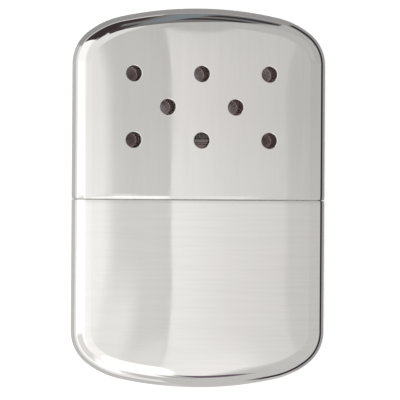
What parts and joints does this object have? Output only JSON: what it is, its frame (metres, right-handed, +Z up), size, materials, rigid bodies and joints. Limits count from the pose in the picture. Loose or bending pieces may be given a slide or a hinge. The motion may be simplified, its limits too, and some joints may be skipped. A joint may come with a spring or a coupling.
{
  "type": "catalytic hand warmer",
  "caption": "Flat pocket hand warmer: a vented slip-on cap over a cotton-filled fuel tank, with a catalytic burner on the tank's oval neck.",
  "frame": {"origin": "centre of the case's bounding box, on the surface that the back rests on", "axes": "+X to the right across the width, +Y along the length from the tank to the cap, +Z up through the front face"},
  "size_m": [0.0666, 0.099, 0.0127],
  "materials": {
    "case_chrome": "polished chrome plate on drawn sheet, with fine handling marks",
    "collar_plate": "satin nickel plate with draw lines",
    "neck_brass": "dull plated brass",
    "felt": "dense wool felt",
    "cotton": "loose cotton wadding",
    "burner_steel": "stainless sheet with faint heat tint",
    "former_steel": "perforated stainless sheet, darkened by heat",
    "glass_fibre": "glass-fibre mat, grey with catalyst",
    "gauze_wire": "woven stainless wire"
  },
  "bodies": {
    "tank": {"tank_shell": "case_chrome", "tank_top": "collar_plate", "neck_sleeve": "neck_brass", "wick_felt": "felt", "cotton_upper": "cotton", "cotton_middle": "cotton", "cotton_lower": "cotton"},
    "cap": {"cap_shell": "case_chrome"},
    "burner": {"burner_skirt": "burner_steel", "burner_base": "burner_steel", "mat_former": "former_steel", "catalyst_mat": "glass_fibre", "gauze_front": "gauze_wire", "gauze_back": "gauze_wire", "grille_front": "burner_steel", "grille_back": "burner_steel", "seam_channel_left": "burner_steel", "seam_channel_right": "burner_steel", "seam_channel_top": "burner_steel"}
  },
  "joints": [
    {"name": "cap_pull", "type": "slide", "parent": "tank", "child": "cap", "axis": [0, 1, 0], "range_m": [0, 0.04]},
    {"name": "burner_pull", "type": "slide", "parent": "tank", "child": "burner", "axis": [0, 1, 0], "range_m": [0, 0.006]}
  ]
}
